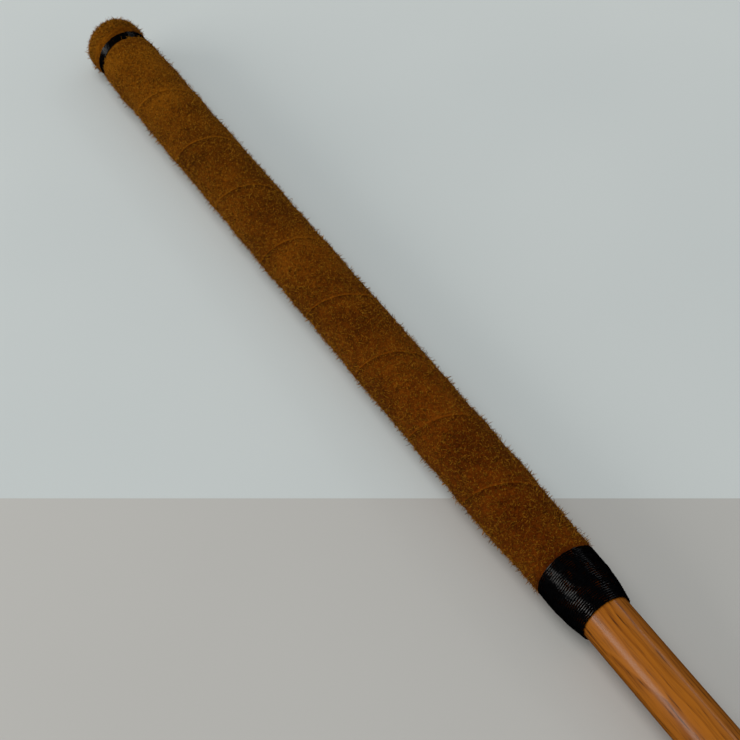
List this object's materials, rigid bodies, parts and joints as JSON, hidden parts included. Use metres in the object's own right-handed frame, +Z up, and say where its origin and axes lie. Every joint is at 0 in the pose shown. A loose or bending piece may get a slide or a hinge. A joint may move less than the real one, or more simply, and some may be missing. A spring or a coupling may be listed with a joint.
{
  "type": "field hockey stick",
  "caption": "Wooden stick with a hooked, flat-faced head, a spliced shaft and a padded, suede-wrapped grip tied down with waxed thread.",
  "frame": {"origin": "on the surface that the stick lies on, under the middle of the stick's box", "axes": "+X from the butt end to the head along the shaft, +Y to the side the toe turns to, +Z up, away from the flat face"},
  "size_m": [0.9272, 0.1126, 0.0333],
  "materials": {
    "varnished_ash": "varnished, straight open grain",
    "varnished_mulberry": "varnished, grain bent round the hook",
    "suede": "napped",
    "waxed_thread": "waxed, satin",
    "spring_rubber": "matt",
    "cork": "raw",
    "cotton_tape": "woven",
    "felt": "pressed felt",
    "pad_leather": "raw",
    "tack_steel": "blued"
  },
  "bodies": {
    "root": {"butt_pad": "pad_leather", "butt_tacks": "tack_steel", "grip_underlay": "felt", "handle": "varnished_ash", "handle_tape": "cotton_tape", "head": "varnished_mulberry", "lower_binding": "waxed_thread", "splice_binding_foot": "waxed_thread", "splice_binding_middle": "waxed_thread", "splice_binding_top": "waxed_thread", "spring_strip_back": "spring_rubber", "spring_strip_face": "spring_rubber", "spring_strip_middle": "cork", "suede_cap": "suede", "suede_wrap": "suede", "top_binding": "waxed_thread", "wrap_tack_foot": "tack_steel", "wrap_tack_top": "tack_steel"}
  },
  "joints": []
}
